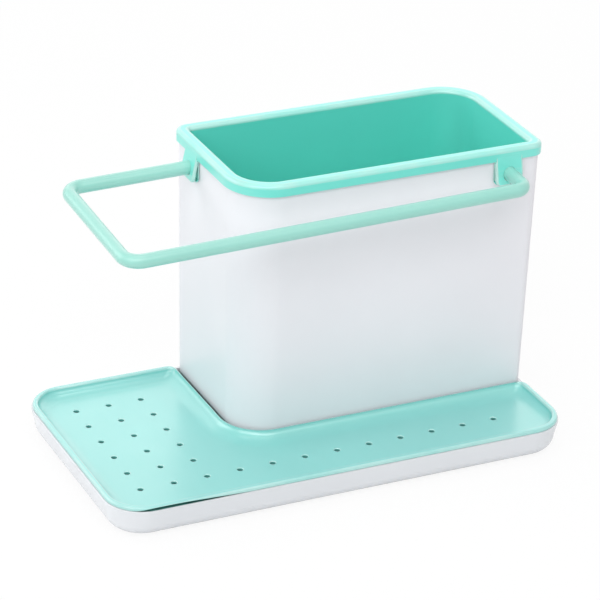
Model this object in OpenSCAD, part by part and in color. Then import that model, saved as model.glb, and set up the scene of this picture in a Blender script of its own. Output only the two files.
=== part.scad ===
// Sink caddy: a base tray with a pierced drain tray and a tall bin standing in it.
// The bin holds a lift-out liner, and a bent rod hangs from the liner's rim as a towel rail.
// Millimetres. X runs along the long side to the right, Y to the back and Z up.
// The origin is the centre of the base on the surface that the caddy stands on.

/* [Base tray] */
// Length of the base over its rim
base_len = 210.4; // [200:0.2:240]
// Width of the base over its rim
base_wid = 114; // [108:0.5:130]
// Corner radius of the rim
base_corner_r = 17; // [15:0.5:22]
// Height of the base without its feet
base_body_h = 13.3; // [12.5:0.1:18]
// Thickness of the base's wall and floor
base_wall = 1.5; // [1.2:0.1:2]
// How far the wall leans in from the rim to the lower edge
base_draft = 1.4; // [0.8:0.1:2]
// Radius of the lower edge
base_edge_r = 6.5; // [5:0.1:7]
// Radius of the rim's outer edge
base_rim_r = 0.5; // [0.3:0.1:0.7]
// Height of the rib round the bin's foot
rib_h = 3; // [2:0.1:4]
// Thickness of the rib
rib_wall = 1.4; // [1:0.1:2]
// Width of the drain gaps in the rib
rib_gap_w = 9; // [5:0.5:14]

/* [Feet] */
// Diameter of a foot pad
foot_d = 12; // [8:0.5:14]
// How far the feet lift the base
foot_stand = 1; // [0.6:0.1:2]
// Depth of the recess that a foot is glued into
foot_recess = 0.4; // [0.2:0.1:0.6]
// Distance of a foot's centre from the base's sides
foot_inset = 19; // [17:0.5:24]

/* [Drain tray] */
// Distance of the tray's edge inside the base's rim
tray_inset = 0.6; // [0.3:0.1:1]
// Height of the tray's lip above the base's rim
lip_h = 1.8; // [1.4:0.1:2.5]
// Width of the lip
lip_w = 2.4; // [2.1:0.1:3]
// Radius of the lip's edges
lip_r = 0.9; // [0.5:0.05:1]
// Width of the curved slope inside the lip
slope_w = 6; // [4:0.1:6.5]
// Depth of the dish below the lip's top
dish_depth = 4; // [3:0.1:4.5]
// Thickness of the tray's floor
tray_sheet = 1.6; // [1.2:0.1:2.2]
// Radius of the two corners beside the bin
tray_end_r = 4; // [2:0.1:6]
// Diameter of a drain hole
hole_d = 2.4; // [1.8:0.1:4]
// Spacing of the holes along the base
hole_pitch_x = 15; // [10:0.5:20]
// Spacing of the holes across the base
hole_pitch_y = 14.55; // [10:0.05:20]
// Distance of the first hole from the tray's left edge, and least distance from its right one
hole_edge_x = 18.34; // [14:0.02:24]
// Distance of the front row from the tray's front edge
hole_edge_y = 22.04; // [18:0.02:26]
// Least distance of a hole from the tray's back edge
hole_back_y = 16; // [12:0.5:24]
// Least distance of a hole from the edge beside the bin
hole_bin_x = 12; // [11:0.5:20]
// Outer diameter of a support post
post_d = 6; // [4:0.1:8]
// Bore of a support post
post_bore = 3; // [1.5:0.1:3.5]
// Distance of the posts from the edge beside the bin
post_inset = 6; // [5:0.1:9]
// Distance of the two end posts from the tray's ends
post_end = 16; // [14:0.5:24]

/* [Outer bin] */
// Length of the bin at the height of the base's rim
bin_len = 135.3; // [120:0.1:145]
// Width of the bin at the height of the base's rim
bin_wid = 68.6; // [62:0.1:74]
// Radius of the bin's front left and back right corners
bin_big_r = 17.3; // [16:0.1:24]
// Radius of the bin's front right and back left corners
bin_small_r = 3.2; // [3:0.1:6]
// How far each side leans out from the base's rim to the bin's top
bin_spread = 1.9; // [0.5:0.1:3]
// Thickness of the bin's wall and floor
bin_wall = 1.8; // [1.2:0.1:2.2]
// Chamfer at the bottom of the bin's wall
bin_chamfer = 2.5; // [1.5:0.1:2.8]
// Distance of the bin's foot inside its wall
bin_foot_inset = 7; // [6:0.1:10]
// Diameter of a drain hole in the bin's foot
sump_hole_d = 6; // [3:0.1:8]
// Number of drain holes in the bin's foot
sump_holes = 4; // [2:1:6]

/* [Liner] */
// Height of the whole caddy to the top of the liner's rim
caddy_h = 130.5; // [110:0.5:160]
// Thickness of the liner's wall and floor
liner_wall = 2; // [1.2:0.1:2.2]
// Radius of the liner's lower edge
liner_edge_r = 2.5; // [1.5:0.1:2.8]
// Radius of the liner's two tight inner corners, at the height of the base's rim
well_small_r = 0.4; // [0.2:0.1:3]
// Thickness of the rim where it lies over the bin's top
rim_web = 1.5; // [1:0.1:2.5]
// Thickness of the rim outside the bin
rim_wall = 0.8; // [0.8:0.1:2]
// Height of the rim's outer band
rim_band_h = 5.5; // [4:0.1:7]
// Radius of the rim's outer edge
rim_outer_r = 1.8; // [0.8:0.05:2]
// Radius of the rim's inner edge
rim_inner_r = 0.8; // [0.4:0.05:1]
// Diameter of a drain hole in the liner's floor
liner_hole_d = 4; // [2:0.1:6]
// Spacing of the liner's drain holes
liner_hole_pitch = 18; // [12:0.5:24]

/* [Towel rail] */
// Diameter of the rod
rod_d = 6; // [4:0.1:7]
// Distance of the rail's left bar from the bin
rail_left = 58; // [40:0.5:80]
// Distance of the rail's front bar from the bin
rail_front = 17.6; // [14:0.1:30]
// Bend radius of the two left corners
rail_left_r = 7; // [4:0.1:12]
// Bend radius of the right corner
rail_right_r = 5; // [4:0.1:8]
// Angle by which the rail hangs below level, in degrees
rail_sag = 2.8; // [0:0.1:5]
// Depth of the rod's centre below the rim's top
socket_drop = 11; // [9.5:0.1:14]
// Distance of the left socket from the bin's back face
socket_back = 17.9; // [17:0.1:40]
// Distance of the right socket from the bin's right face
socket_right = 14.8; // [12:0.1:40]
// Width of the tab that holds a socket
tab_w = 13; // [11:0.1:18]
// How far a tab stands out from the bin
tab_proud = 3; // [2.5:0.1:4]
// Distance from the socket's centre to the tab's lower edge
tab_below = 5.5; // [5:0.1:7]
// Radius of the tab's lower corners
tab_r = 3.5; // [2:0.1:5]
// Height of the slope from the tab up to the rim
tab_slope_h = 3; // [1:0.1:3.5]

/* [Clearances] */
// Gap between the bin and the base's wall
bin_clear = 0.3; // [0.3:0.05:0.6]
// Gap between the bin's foot and the rib round it
rib_clear = 0.4; // [0.3:0.05:0.8]
// Gap between the drain tray and the base's wall
tray_clear = 0.4; // [0.3:0.05:0.8]
// Gap between the drain tray and the bin's left side
tray_left_gap = 1.8; // [0.8:0.05:2.4]
// Gap between the drain tray and the bin's front
tray_front_gap = 0.8; // [0.7:0.05:2]
// Gap between the liner and the bin's wall
liner_clear = 0.6; // [0.3:0.05:1]
// Gap between the liner's floor and the step above the bin's foot
liner_floor_gap = 4.9; // [3:0.1:20]
// Gap between the rim's outer band and the bin
rim_clear = 0.3; // [0.3:0.05:0.6]
// Gap round the rod in its socket
socket_clear = 0.1; // [0.05:0.05:0.2]
// Gap between a foot and the wall of its recess
foot_clear = 0.1; // [0.05:0.05:0.3]

/* [Hidden] */
$fn = 96;

// How far a cut runs past the surface that it opens
cut = 1;
// Straight pieces in each rounded edge of an outline
arc_steps = 6;
// Step to which a block's points are rounded, so that its sides and corners share exact edges
grid = 0.001;

mint = "#7fdccb";
white = "#f2f3f5";
pad_grey = "#c9cccf";

// Heights above the surface
base_floor_z = foot_stand + base_wall;
base_edge_z = foot_stand + base_edge_r;
base_rim_z = foot_stand + base_body_h;
tray_top_z = base_rim_z + lip_h;
dish_z = tray_top_z - dish_depth;
tray_under_z = dish_z - tray_sheet;
bin_under_z = base_rim_z - bin_chamfer;
bin_step_z = bin_under_z + bin_wall;
bin_top_z = caddy_h - rim_web;
band_z = caddy_h - rim_band_h;
liner_under_z = bin_step_z + liner_floor_gap;
liner_floor_z = liner_under_z + liner_wall;
socket_z = caddy_h - socket_drop;
tab_low_z = socket_z - tab_below;

// Outlines in plan, each as its front left and back right corner, with four corner radii
// in the order front left, front right, back right and back left
base_span = [[-base_len, -base_wid] / 2, [base_len, base_wid] / 2];
base_radii = [for (i = [0:3]) base_corner_r];
tray_span = inset(base_span, tray_inset);
tray_radii = [for (i = [0:3]) base_corner_r - tray_inset];
bin_back_right = base_span[1] - [1, 1] * (base_wall + bin_clear);
bin_span = [bin_back_right - [bin_len, bin_wid], bin_back_right];
bin_radii = mixed_radii(bin_big_r, bin_small_r);
foot_span = inset(bin_span, bin_foot_inset);
foot_radii = mixed_radii(bin_big_r - bin_foot_inset, bin_small_r);

// Corner radii of an outline with two wide and two tight corners
function mixed_radii(big_r, small_r) = [big_r, small_r, big_r, small_r];

// An outline's corners moved inwards by d
function inset(span, d) = [span[0] + [d, d], span[1] - [d, d]];

// Outward lean of the bin's side at height z
function flare(z) = bin_spread * (z - base_rim_z) / (bin_top_z - base_rim_z);

// Inward lean of the base's wall at height z
function lean(z) = -base_draft * (base_rim_z - z) / (base_rim_z - base_edge_z);

// Points along an arc round c with radii r, from one angle to another
function arc(c, r, from, to) = [
    for (i = [0:arc_steps])
        let (a = from + (to - from) * i / arc_steps)
        c + [r.x * cos(a), r.y * sin(a)]
];

// The same with one radius
function round_arc(c, r, from, to) = arc(c, [r, r], from, to);

// A length rounded to the grid
function snap(v) = round(v / grid) * grid;

// Solid under an outline, whose side follows a profile of [outward offset, height] points.
// The points run upwards, and every corner radius is larger than the deepest inward offset.
// Its core, sides and corners overlap, so that they make one solid at any size.
module tapered_block(span, radii, profile) {
    side = [for (p = profile) [snap(p.x), snap(p.y)]];
    turn = [for (r = radii) snap(r)];
    low = side[0].y;
    high = side[len(side) - 1].y;
    corners = [
        for (p = [span[0], [span[1].x, span[0].y], span[1], [span[0].x, span[1].y]])
            [snap(p.x), snap(p.y)]
    ];
    inward = [[1, 1], [-1, 1], [-1, -1], [1, -1]];
    centres = [for (i = [0:3]) corners[i] + turn[i] * inward[i]];
    lap = snap((min(turn) + min([for (p = side) p.x])) / 2);
    translate([0, 0, low])
        linear_extrude(high - low)
            polygon([
                for (i = [0:3], facing = [180 + 90 * i, 270 + 90 * i])
                    centres[i] + lap * [cos(facing), sin(facing)]
            ]);
    for (i = [0:3]) {
        next = (i + 1) % 4;
        facing = 270 + 90 * i;
        reach = max(turn[i], turn[next]);
        run = norm(corners[next] - corners[i]) - turn[i] - turn[next];
        edge = centres[next] + turn[next] * [cos(facing), sin(facing)];
        translate([centres[i].x, centres[i].y, 0])
            rotate([0, 0, facing - 90])
                rotate_extrude()
                    polygon([[0, low], each [for (p = side) p + [turn[i], 0]], [0, high]]);
        translate([edge.x, edge.y, 0])
            rotate([90, 0, facing])
                linear_extrude(run)
                    polygon([[-reach, low], each side, [-reach, high]]);
    }
}

// Base tray: a rounded shell with a locating rib on its floor and recesses for the feet
module base_tray() {
    color(white) {
        difference() {
            tapered_block(base_span, base_radii, concat(
                round_arc([-base_draft - base_edge_r, base_edge_z], base_edge_r, -90, 0),
                round_arc([-base_rim_r, base_rim_z - base_rim_r], base_rim_r, 0, 90)
            ));
            tapered_block(base_span, base_radii, concat(
                round_arc([-base_draft - base_edge_r, base_edge_z], base_edge_r - base_wall, -90, 0),
                [[-base_wall, base_rim_z], [-base_wall, base_rim_z + cut]]
            ));
            for (p = foot_places)
                translate([p.x, p.y, foot_stand - cut])
                    cylinder(h = cut + foot_recess, d = foot_d + 2 * foot_clear);
        }
        foot_rib();
    }
}

// Low rib round the bin's foot, open in the middle of each side so that water runs through
module foot_rib() {
    inner = rib_clear;
    outer = rib_clear + rib_wall;
    top = base_floor_z + rib_h;
    centre = (foot_span[0] + foot_span[1]) / 2;
    size = foot_span[1] - foot_span[0] + [1, 1] * 2 * (outer + cut);
    difference() {
        tapered_block(foot_span, foot_radii, [[outer, base_floor_z - base_wall / 2], [outer, top]]);
        tapered_block(foot_span, foot_radii, [[inner, base_floor_z], [inner, top + cut]]);
        translate([centre.x - size.x / 2, centre.y - rib_gap_w / 2, base_floor_z])
            cube([size.x, rib_gap_w, rib_h + cut]);
        translate([centre.x - rib_gap_w / 2, centre.y - size.y / 2, base_floor_z])
            cube([rib_gap_w, size.y, rib_h + cut]);
    }
}

// Centres of the four feet: front left, front right, back left and back right
foot_places = [
    for (y = [-1, 1], x = [-1, 1])
        [x * (base_len / 2 - foot_inset), y * (base_wid / 2 - foot_inset)]
];

// Foot pad: a soft disc glued into its recess
module foot_pad(place) {
    color(pad_grey)
        translate([place.x, place.y, 0])
            cylinder(h = foot_stand + foot_recess, d = foot_d);
}

// Inner corner of the drain tray beside the bin, where its two legs meet
tray_corner = bin_span[0] - [tray_left_gap, tray_front_gap];

// Outline of the space left for the bin, which runs out past the tray's back and right edges
pocket_span = [tray_corner, tray_span[1] + [1, 1] * (bin_small_r + cut)];
pocket_radii = mixed_radii(bin_big_r + tray_front_gap, bin_small_r);

// Profile of the dish's edge: a slope from the floor up to the lip, on one side of the outline
function dish_profile(side) = [
    for (p = concat(
        arc([lip_w + slope_w, tray_top_z - lip_r], [slope_w, dish_depth - lip_r], 270, 180),
        round_arc([lip_w - lip_r, tray_top_z - lip_r], lip_r, 0, 90),
        [[lip_w - lip_r, tray_top_z + cut]]
    )) [side * p.x, p.y]
];

// Drain tray: an L-shaped dish with a rounded lip, pierced floor and three support posts
module drain_tray() {
    color(mint)
        difference() {
            union() {
                tapered_block(tray_span, tray_radii, concat(
                    [[-lip_r / 2, base_rim_z], [0, base_rim_z + lip_r / 2]],
                    round_arc([-lip_r, tray_top_z - lip_r], lip_r, 0, 90)
                ));
                tapered_block(base_span, base_radii, [
                    [lean(tray_under_z) - base_wall - tray_clear, tray_under_z],
                    [-base_wall - tray_clear, base_rim_z],
                    [-base_wall - tray_clear, base_rim_z + lip_h / 2],
                ]);
            }
            bin_pocket();
            dish();
            for (corner = [[tray_span[1].x, tray_corner.y], [tray_corner.x, tray_span[1].y]])
                tray_end_cut(corner);
            drain_holes();
        }
    color(mint)
        for (p = post_places)
            support_post(p);
}

// Space for the bin in the drain tray, with the lip's rounded edge round it
module bin_pocket() {
    tapered_block(pocket_span, pocket_radii, concat(
        [[0, tray_under_z - cut]],
        round_arc([lip_r, tray_top_z - lip_r], lip_r, 180, 90),
        [[lip_r, tray_top_z + cut]]
    ));
}

// Hollow of the dish: the tray's outline less a wider border round the bin
module dish() {
    border = dish_profile(1);
    difference() {
        tapered_block(tray_span, tray_radii, dish_profile(-1));
        tapered_block(pocket_span, pocket_radii, concat([border[0] - [0, cut]], border));
    }
}

// Waste outside the rounded corner of one of the tray's ends
module tray_end_cut(corner) {
    translate([corner.x - tray_end_r, corner.y - tray_end_r, 0])
        difference() {
            translate([0, 0, tray_under_z - cut])
                cube([tray_end_r + cut, tray_end_r + cut, tray_top_z - tray_under_z + 2 * cut]);
            rotate_extrude()
                polygon(concat(
                    [[0, tray_under_z - 2 * cut], [tray_end_r, tray_under_z - 2 * cut]],
                    round_arc([tray_end_r - lip_r, tray_top_z - lip_r], lip_r, 0, 90),
                    [[0, tray_top_z]]
                ));
        }
}

// Drain holes: a row along the front and a block of rows beside the bin
tray_size = tray_span[1] - tray_span[0];
row_count = floor((tray_size.x - 2 * hole_edge_x) / hole_pitch_x) + 1;
column_count = floor((tray_size.y - hole_edge_y - hole_back_y) / hole_pitch_y) + 1;
leg_w = tray_corner.x - tray_span[0].x;
leg_count = floor((leg_w - hole_edge_x - hole_bin_x) / hole_pitch_x) + 1;
module drain_holes() {
    first = tray_span[0] + [hole_edge_x, hole_edge_y];
    for (j = [0:column_count - 1], i = [0:(j == 0 ? row_count : leg_count) - 1])
        translate([first.x + i * hole_pitch_x, first.y + j * hole_pitch_y, tray_under_z - cut])
            cylinder(h = tray_sheet + 2 * cut, d = hole_d);
}

// Places of the posts: behind, in the inner corner and at the right
post_places = [
    [tray_corner.x - post_inset, tray_span[1].y - post_end],
    tray_corner - [post_inset, post_inset],
    [tray_span[1].x - post_end, tray_corner.y - post_inset],
];

// Tubular post that carries the tray's inner edge on the base's floor
module support_post(place) {
    translate([place.x, place.y, base_floor_z])
        difference() {
            cylinder(h = tray_under_z + tray_sheet / 2 - base_floor_z, d = post_d);
            translate([0, 0, -cut])
                cylinder(h = tray_under_z - base_floor_z + cut, d = post_bore);
        }
}

// Outer bin: a leaning wall over a stepped foot with drain holes
module outer_bin() {
    cavity_span = inset(bin_span, bin_wall);
    sump_span = inset(foot_span, bin_wall);
    sump_radii = [for (r = foot_radii) r - bin_wall];
    color(white)
        difference() {
            union() {
                tapered_block(bin_span, bin_radii, [
                    [-bin_chamfer, bin_under_z],
                    [0, base_rim_z],
                    [flare(bin_top_z), bin_top_z],
                ]);
                tapered_block(foot_span, foot_radii, [[0, base_floor_z], [0, bin_under_z + bin_wall / 2]]);
            }
            tapered_block(cavity_span, mixed_radii(bin_big_r - bin_wall, bin_small_r), [
                [-bin_chamfer, bin_step_z],
                [flare(bin_step_z + bin_chamfer), bin_step_z + bin_chamfer],
                [flare(bin_top_z), bin_top_z],
                [flare(bin_top_z), bin_top_z + cut],
            ]);
            tapered_block(sump_span, sump_radii, [[0, base_floor_z + bin_wall], [0, bin_step_z + cut]]);
            sump_drains();
        }
}

// Row of drain holes along the middle of the bin's foot
module sump_drains() {
    step = (foot_span[1].x - foot_span[0].x) / sump_holes;
    middle_y = (foot_span[0].y + foot_span[1].y) / 2;
    for (i = [0:sump_holes - 1])
        translate([foot_span[0].x + (i + 1 / 2) * step, middle_y, base_floor_z - cut])
            cylinder(h = bin_wall + 2 * cut, d = sump_hole_d);
}

// Liner: an inner bin whose rolled rim hangs over the bin's top and carries two socket tabs
liner_inset = bin_wall + liner_clear;
liner_span = inset(bin_span, liner_inset);
well_span = inset(liner_span, liner_wall);
module liner() {
    top_flare = flare(caddy_h);
    color(mint)
        difference() {
            union() {
                tapered_block(liner_span, mixed_radii(bin_big_r - liner_inset, bin_small_r), concat(
                    round_arc(
                        [flare(liner_under_z + liner_edge_r) - liner_edge_r, liner_under_z + liner_edge_r],
                        liner_edge_r, -90, 0
                    ),
                    [[flare(bin_top_z), bin_top_z], [flare(bin_top_z), bin_top_z + rim_web / 2]]
                ));
                liner_rim();
            }
            tapered_block(well_span, mixed_radii(bin_big_r - liner_inset - liner_wall, well_small_r), concat(
                [[flare(liner_floor_z), liner_floor_z]],
                round_arc([top_flare + rim_inner_r, caddy_h - rim_inner_r], rim_inner_r, 180, 90),
                [[top_flare + rim_inner_r, caddy_h + cut]]
            ));
            liner_drains();
            rail_frame()
                rail_ends(rod_d / 2 + socket_clear, -cut);
        }
}

// Rolled rim with its band outside the bin, and the two tabs that hang from it
module liner_rim() {
    proud = rim_clear + rim_wall;
    difference() {
        union() {
            tapered_block(bin_span, bin_radii, concat(
                [[flare(band_z) + proud, band_z]],
                round_arc(
                    [flare(caddy_h) + proud - rim_outer_r, caddy_h - rim_outer_r],
                    rim_outer_r, 0, 90
                )
            ));
            translate([right_socket.x, bin_span[0].y, 0])
                socket_tab(270);
            translate([bin_span[0].x, left_socket.y, 0])
                socket_tab(180);
        }
        tapered_block(bin_span, bin_radii, [
            [flare(tab_low_z - cut) + rim_clear, tab_low_z - cut],
            [flare(bin_top_z) + rim_clear, bin_top_z],
        ]);
    }
}

// Tab on the bin's side that faces the given way, with rounded lower corners and a sloping top
module socket_tab(facing) {
    face = flare(socket_z) + tab_proud;
    rim_face = flare(band_z) + rim_clear + rim_wall;
    shoulder_z = band_z + tab_slope_h;
    rotate([0, 0, facing])
        intersection() {
            rotate([90, 0, 90])
                linear_extrude(face)
                    tab_outline(shoulder_z);
            translate([0, tab_w / 2 + cut, 0])
                rotate([90, 0, 0])
                    linear_extrude(tab_w + 2 * cut)
                        polygon([
                            [0, tab_low_z - cut],
                            [face, tab_low_z - cut],
                            [face, band_z],
                            [rim_face, shoulder_z],
                            [0, shoulder_z],
                        ]);
        }
}

// Face of a tab: straight sides and two rounded lower corners
module tab_outline(top_z) {
    centre_z = tab_low_z + tab_r;
    translate([-tab_w / 2, centre_z])
        square([tab_w, top_z - centre_z]);
    translate([tab_r - tab_w / 2, tab_low_z])
        square([tab_w - 2 * tab_r, tab_r]);
    for (side = [-1, 1])
        translate([side * (tab_w / 2 - tab_r), centre_z])
            circle(r = tab_r);
}

// Drain holes in the liner's floor, in rows centred on it
module liner_drains() {
    room = well_span[1] - well_span[0] - [1, 1] * 2 * bin_big_r;
    centre = (well_span[0] + well_span[1]) / 2;
    steps = [for (length = room) floor(length / liner_hole_pitch)];
    for (i = [0:steps.x], j = [0:steps.y])
        translate([
            centre.x + (i - steps.x / 2) * liner_hole_pitch,
            centre.y + (j - steps.y / 2) * liner_hole_pitch,
            liner_under_z - cut
        ])
            cylinder(h = liner_wall + 2 * cut, d = liner_hole_d);
}

// Places of the sockets on the tabs' outer faces, and the rail's three corners in a level plane
side_offset = flare(socket_z);
left_socket = [bin_span[0].x - side_offset - tab_proud, bin_span[1].y - socket_back];
right_socket = [bin_span[1].x - socket_right, bin_span[0].y - side_offset - tab_proud];
rail_left_x = bin_span[0].x - side_offset - rail_left;
rail_front_y = bin_span[0].y - side_offset - rail_front;

// How far the rod's end reaches into a tab, ending just short of its inner face
rod_seat = tab_proud - 2 * rim_clear;

// Tilts what is drawn level at height zero about the line through both sockets
module rail_frame() {
    axis = right_socket - left_socket;
    translate([left_socket.x, left_socket.y, socket_z])
        rotate(a = rail_sag, v = [axis.x, axis.y, 0])
            translate([-left_socket.x, -left_socket.y, 0])
                children();
}

// The rod's straight ends with radius r, where shy is how far they stop short of the full seat
module rail_ends(r, shy) {
    arm_start = rail_left_x + rail_left_r;
    stub_start = rail_front_y + rail_right_r;
    translate([arm_start, left_socket.y, 0])
        rotate([0, 90, 0])
            cylinder(h = left_socket.x + rod_seat - shy - arm_start, r = r);
    translate([right_socket.x, stub_start, 0])
        rotate([-90, 0, 0])
            cylinder(h = right_socket.y + rod_seat - shy - stub_start, r = r);
}

// Quarter bend of the rod round a corner, with its centre at the given place
module rod_bend(centre, bend_r, start) {
    translate([centre.x, centre.y, 0])
        rotate([0, 0, start])
            rotate_extrude(angle = 90)
                translate([bend_r, 0])
                    circle(d = rod_d);
}

// Towel rail: a rod with two straight bars, three bends and two ends that sit in the sockets
module towel_rail() {
    bar_start_x = rail_left_x + rail_left_r;
    bar_end_x = right_socket.x - rail_right_r;
    bar_start_y = rail_front_y + rail_left_r;
    bar_end_y = left_socket.y - rail_left_r;
    color(mint)
        rail_frame() {
            rail_ends(rod_d / 2, 0);
            translate([bar_start_x, rail_front_y, 0])
                rotate([0, 90, 0])
                    cylinder(h = bar_end_x - bar_start_x, d = rod_d);
            translate([rail_left_x, bar_start_y, 0])
                rotate([-90, 0, 0])
                    cylinder(h = bar_end_y - bar_start_y, d = rod_d);
            rod_bend([bar_start_x, bar_end_y], rail_left_r, 90);
            rod_bend([bar_start_x, bar_start_y], rail_left_r, 180);
            rod_bend([bar_end_x, rail_front_y + rail_right_r], rail_right_r, 270);
        }
}

base_tray();
foot_pad(foot_places[0]);  // foot_front_left
foot_pad(foot_places[1]);  // foot_front_right
foot_pad(foot_places[2]);  // foot_back_left
foot_pad(foot_places[3]);  // foot_back_right
drain_tray();
outer_bin();
liner();
towel_rail();
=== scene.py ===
"""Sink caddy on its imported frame: dressed meshes, procedural plastics, studio and camera."""

import logging
import math
from dataclasses import dataclass, field, fields
from enum import Enum
from functools import partial
from typing import Any, Iterable, Sequence

import bmesh
import bpy
from mathutils import Euler, Matrix, Vector


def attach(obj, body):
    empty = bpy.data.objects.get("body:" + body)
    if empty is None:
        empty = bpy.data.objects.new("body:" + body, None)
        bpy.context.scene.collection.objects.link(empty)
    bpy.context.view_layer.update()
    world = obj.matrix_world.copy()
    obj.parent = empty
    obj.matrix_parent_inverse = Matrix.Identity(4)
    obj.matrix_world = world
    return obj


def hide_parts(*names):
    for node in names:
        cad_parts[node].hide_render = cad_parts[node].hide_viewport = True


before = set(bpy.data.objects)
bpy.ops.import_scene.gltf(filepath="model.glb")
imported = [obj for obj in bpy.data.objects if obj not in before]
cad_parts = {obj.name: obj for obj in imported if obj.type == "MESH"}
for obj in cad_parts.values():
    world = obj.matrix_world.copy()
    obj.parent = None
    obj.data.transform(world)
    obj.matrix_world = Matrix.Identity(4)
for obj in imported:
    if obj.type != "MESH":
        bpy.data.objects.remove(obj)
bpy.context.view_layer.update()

LOG = logging.getLogger("caddy")
MM = 0.001
WEAR_AND_SHADE = "edge"

Flat = tuple[float, float]
Section = list[Flat]
Level = tuple[float, Section]
Ring = list[Vector]
Socket = bpy.types.NodeSocket
Tree = bpy.types.NodeTree


class Body(Enum):
    """Moving bodies of the frame that a piece may ride on."""

    BASE = "base"
    TRAY = "drain_tray"
    BIN = "bin"
    LINER = "liner"


class Grain(Enum):
    """How the steel of the mould was finished, as (size in mm, depth in mm) of its grain.

    Real grain is a tenth of a millimetre or less, so it is drawn as coarse as it needs to show.
    """

    POLISHED = (2.6, 0.004)
    SATIN = (1.8, 0.010)
    RUBBED = (1.2, 0.03)


def linear(hex_colour: str) -> tuple[float, float, float, float]:
    """Turns an sRGB hex colour into linear light.

    Args:
        hex_colour: Six hex digits after a hash.

    Returns:
        Red, green, blue and an alpha of one.
    """
    parts = [int(hex_colour[i : i + 2], 16) / 255 for i in (1, 3, 5)]
    red, green, blue = (p / 12.92 if p <= 0.04045 else ((p + 0.055) / 1.055) ** 2.4 for p in parts)
    return red, green, blue, 1.0


def add_node(tree: Tree, kind: str, inputs: dict[Any, Any] | None = None, **settings: Any) -> bpy.types.Node:
    """Adds a node to a tree, with its settings, values and links.

    Args:
        tree: Shader or geometry tree.
        kind: Type name of the node.
        inputs: Value or linked socket of each input, by name or number.
        settings: Properties of the node.

    Returns:
        The new node.
    """
    node = tree.nodes.new(kind)
    for name, value in settings.items():
        setattr(node, name, value)
    for name, value in (inputs or {}).items():
        if isinstance(value, Socket):
            tree.links.new(value, node.inputs[name])
        else:
            node.inputs[name].default_value = value
    return node


def calc(tree: Tree, operation: str, *values: Any, clamp: bool = False) -> Socket:
    """Adds a math node to a tree.

    Args:
        tree: Shader or geometry tree.
        operation: Name of the operation.
        values: Numbers or sockets to work on.
        clamp: Whether the result stays between zero and one.

    Returns:
        The socket of the result.
    """
    inputs = dict(enumerate(values))
    return add_node(tree, "ShaderNodeMath", inputs, operation=operation, use_clamp=clamp).outputs[0]


def remap(tree: Tree, value: Socket, given: Flat, wanted: Flat = (0.0, 1.0)) -> Socket:
    """Adds a node that maps one range to another and stays within it.

    Args:
        tree: Shader tree.
        value: Socket of the value.
        given: Values at which the new range starts and ends.
        wanted: Start and end of the new range.

    Returns:
        The socket of the result.
    """
    limits = {"From Min": given[0], "From Max": given[1], "To Min": wanted[0], "To Max": wanted[1]}
    return add_node(tree, "ShaderNodeMapRange", {"Value": value, **limits}).outputs[0]


def clear_tree(owner: bpy.types.ID) -> Tree:
    """Turns on the nodes of a material or world and takes them all out.

    Args:
        owner: Material or world.

    Returns:
        Its empty tree.
    """
    owner.use_nodes = True
    owner.node_tree.nodes.clear()
    return owner.node_tree


def add_object(name: str, data: bpy.types.ID) -> bpy.types.Object:
    """Links a new object to the scene.

    Args:
        name: Name of the object.
        data: Its mesh, lamp or camera.

    Returns:
        The object, at the origin.
    """
    made = bpy.data.objects.new(name, data)
    bpy.context.scene.collection.objects.link(made)
    return made


def arc(centre: Flat, radii: float | Flat, start: float, end: float, steps: int = 8) -> Section:
    """Points along an arc of a section.

    Args:
        centre: Centre as (offset, height).
        radii: Radius, or radius across and up.
        start: First angle in degrees.
        end: Last angle in degrees.
        steps: Number of straight pieces.

    Returns:
        The points in order.
    """
    across, up = radii if isinstance(radii, tuple) else (radii, radii)
    angles = [math.radians(start + (end - start) * i / steps) for i in range(steps + 1)]
    return [(centre[0] + across * math.cos(a), centre[1] + up * math.sin(a)) for a in angles]


def ramp(value: float, start: float, full: float) -> float:
    """Share from zero to one that a value has covered between a start and a full value."""
    return min(1.0, max(0.0, (value - start) / (full - start)))


def ease(share: float) -> float:
    """Share from zero to one with a soft start and end."""
    return share * share * (3 - 2 * share)


def bulge(radius: float, left: float) -> float:
    """Half the width of a circle at a distance from its middle, and all of it on the near side."""
    return math.sqrt(max(0.0, radius**2 - max(0.0, left) ** 2))


@dataclass(frozen=True)
class Outline:
    """Closed outline with square turns, each rounded, counter-clockwise from above, in mm."""

    corners: tuple[Flat, ...]
    radii: tuple[float, ...]
    least: float = 0.3
    steps: int = 18

    def ring(self, offset: float | Sequence[float], height: float) -> Ring:
        """Points of the outline with its sides moved outwards.

        Args:
            offset: Outward move in mm, for all sides or for each one.
            height: Height of the ring.

        Returns:
            The same number of points whatever the offset.
        """
        count = len(self.corners)
        moves = [offset] * count if isinstance(offset, (int, float)) else list(offset)
        runs = [Vector(self.corners[(i + 1) % count]) - Vector(self.corners[i]) for i in range(count)]
        runs = [r.normalized() for r in runs]
        points = []
        for i, corner in enumerate(self.corners):
            before, after = runs[i - 1], runs[i]
            turn = 1 if before.cross(after) > 0 else -1
            place = Vector(corner) + moves[i - 1] * Vector((before.y, -before.x))
            place += moves[i] * Vector((after.y, -after.x))
            radius = max(self.least, self.radii[i] + turn * (moves[i - 1] + moves[i]) / 2)
            centre = place + radius * (after - before)
            for k in range(self.steps + 1):
                a = math.pi / 2 * k / self.steps
                p = centre + radius * (before * math.sin(a) - after * math.cos(a))
                points.append(Vector((p.x, p.y, height)))
        return points

    def sweep(self, section: Iterable[Flat]) -> list[Ring]:
        """Rings at each (offset, height) of a section."""
        return [self.ring(x, z) for x, z in section]


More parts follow.
